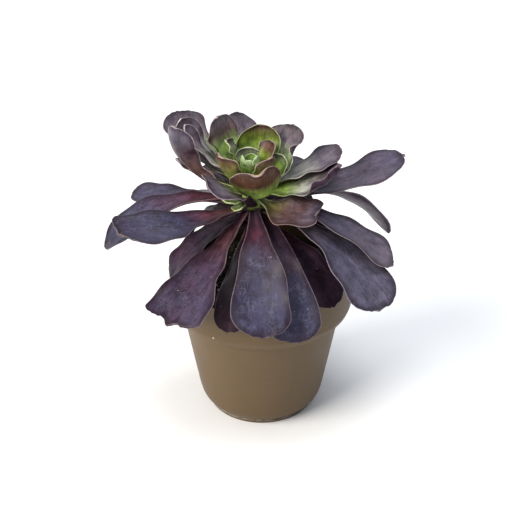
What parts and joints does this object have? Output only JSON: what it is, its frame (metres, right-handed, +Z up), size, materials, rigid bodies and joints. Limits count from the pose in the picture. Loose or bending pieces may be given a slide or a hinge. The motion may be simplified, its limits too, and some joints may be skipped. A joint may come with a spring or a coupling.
{
  "type": "potted aeonium",
  "caption": "Tree aeonium with one dark purple rosette, green at its heart, on a short woody stem in a round tapered nursery pot with a collar.",
  "frame": {"origin": "middle of the pot's underside, on the surface that the pot stands on", "axes": "+Z up the pot's axis, -Y to the front where the big leaves hang over the rim, +X to the right"},
  "size_m": [0.2124, 0.1656, 0.2237],
  "materials": {
    "pot_plastic": "smooth matte taupe plastic",
    "potting_mix": "loose dark potting mix with pale grit",
    "stem_bark": "rough grey-brown bark with leaf scars",
    "outer_leaf": "dark purple succulent leaf with a thin waxy bloom",
    "inner_leaf": "green succulent leaf with a purple-brown tip and a pale margin",
    "bud_leaf": "fresh green succulent leaf with a pale margin"
  },
  "bodies": {
    "root": {"pot": "pot_plastic", "soil": "potting_mix", "stem": "stem_bark", "lower_leaf_01": "outer_leaf", "lower_leaf_02": "outer_leaf", "lower_leaf_03": "outer_leaf", "lower_leaf_04": "outer_leaf", "lower_leaf_05": "outer_leaf", "lower_leaf_06": "outer_leaf", "lower_leaf_07": "outer_leaf", "lower_leaf_08": "outer_leaf", "lower_leaf_09": "outer_leaf", "lower_leaf_10": "outer_leaf", "lower_leaf_11": "outer_leaf", "lower_leaf_12": "outer_leaf", "lower_leaf_13": "outer_leaf", "lower_leaf_14": "outer_leaf", "lower_leaf_15": "outer_leaf", "lower_leaf_16": "outer_leaf", "lower_leaf_17": "outer_leaf", "lower_leaf_18": "outer_leaf", "lower_leaf_19": "outer_leaf", "lower_leaf_20": "outer_leaf", "rosette_leaf_01": "inner_leaf", "rosette_leaf_02": "inner_leaf", "rosette_leaf_03": "inner_leaf", "rosette_leaf_04": "inner_leaf", "rosette_leaf_05": "inner_leaf", "rosette_leaf_06": "inner_leaf", "rosette_leaf_07": "inner_leaf", "rosette_leaf_08": "inner_leaf", "rosette_leaf_09": "inner_leaf", "rosette_leaf_10": "inner_leaf", "rosette_leaf_11": "inner_leaf", "rosette_leaf_12": "inner_leaf", "rosette_leaf_13": "inner_leaf", "rosette_leaf_14": "inner_leaf", "rosette_leaf_15": "inner_leaf", "rosette_leaf_16": "inner_leaf", "bud_leaf_1": "bud_leaf", "bud_leaf_2": "bud_leaf", "bud_leaf_3": "bud_leaf", "bud_leaf_4": "bud_leaf", "back_leaf_01": "outer_leaf", "back_leaf_02": "outer_leaf", "back_leaf_03": "outer_leaf", "back_leaf_04": "outer_leaf", "back_leaf_05": "outer_leaf", "back_leaf_06": "outer_leaf", "back_leaf_07": "outer_leaf", "back_leaf_08": "outer_leaf", "back_leaf_09": "outer_leaf", "back_leaf_10": "outer_leaf"}
  },
  "joints": []
}
